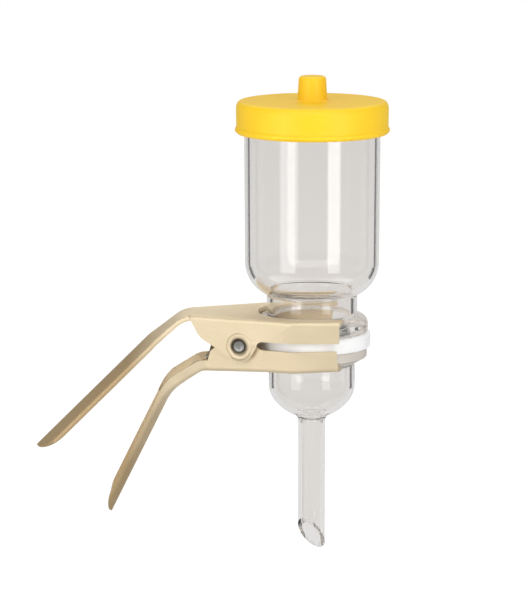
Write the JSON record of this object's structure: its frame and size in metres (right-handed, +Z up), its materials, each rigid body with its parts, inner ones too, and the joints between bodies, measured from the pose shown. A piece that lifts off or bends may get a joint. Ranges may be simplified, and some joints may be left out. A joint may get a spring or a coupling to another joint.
{
  "type": "vacuum filtration unit",
  "caption": "Glass vacuum filter holder with a push-on lid, a gasket ring, a support screen, a beveled outlet stem and a spring clamp that holds the funnel to its receiver.",
  "frame": {"origin": "on the glass axis, in the straight part of the outlet stem where a stopper grips it, 32 mm below the mid-plane of the gasket ring", "axes": "+Z up along the glass axis towards the lid; -X towards the clamp's handles; +Y completes the frame, along the clamp's pivot pin"},
  "size_m": [0.0917, 0.0398, 0.125],
  "materials": {
    "silicone": "satin moulded silicone",
    "borosilicate_glass": "clear, fire-polished",
    "ptfe": "white, smooth, slightly waxy",
    "stainless_steel": "satin",
    "anodised_aluminium": "champagne anodised, finely brushed",
    "spring_steel": "drawn wire"
  },
  "bodies": {
    "glassware": {"receiver": "borosilicate_glass", "gasket_ring": "ptfe", "support_screen": "stainless_steel", "funnel": "borosilicate_glass", "lower_jaw": "anodised_aluminium", "pivot_pin": "stainless_steel", "torsion_spring": "spring_steel"},
    "upper_jaw": {"upper_jaw": "anodised_aluminium"},
    "lid": {"lid": "silicone"}
  },
  "joints": [
    {"name": "jaw_hinge", "type": "hinge", "parent": "glassware", "child": "upper_jaw", "pos_m": [-0.0187, 0, 0.0318], "axis": [0, -1, 0], "range_deg": [0, 13], "stiffness_Nm_per_rad": 0.15, "springref_deg": -28.65, "deforming": ["torsion_spring"]},
    {"name": "lid_lift", "type": "slide", "parent": "glassware", "child": "lid", "axis": [0, 0, 1], "range_m": [0, 0.02]}
  ]
}
